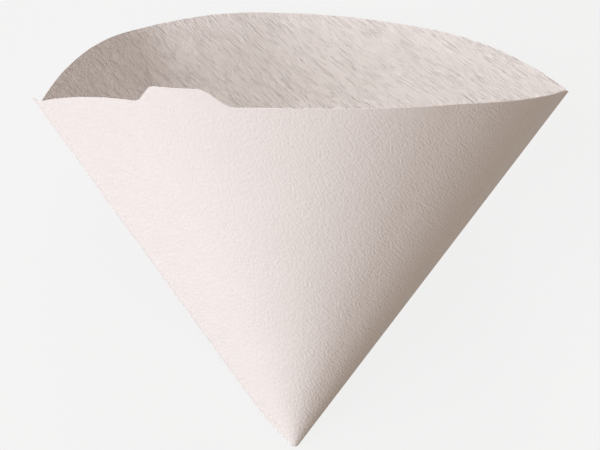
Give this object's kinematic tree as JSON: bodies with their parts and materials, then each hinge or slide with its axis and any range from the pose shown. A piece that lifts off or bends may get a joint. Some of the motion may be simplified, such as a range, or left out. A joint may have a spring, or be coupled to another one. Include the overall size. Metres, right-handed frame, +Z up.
{
  "type": "paper coffee filter",
  "caption": "Cone-shaped filter of creped unbleached paper, folded from a doubled quarter circle, with a crimped side seam and a lifting tab on its rim.",
  "frame": {"origin": "on the surface that the filter lies on, below the middle of its box", "axes": "+Z up from the rear sheet that it lies on, +Y towards the open mouth, tip towards -Y, crimped seam on the -X side"},
  "size_m": [0.1362, 0.1152, 0.0939],
  "materials": {
    "creped_paper": "matte, finely creped, unbleached"
  },
  "bodies": {
    "root": {"filter_paper": "creped_paper"}
  },
  "joints": []
}
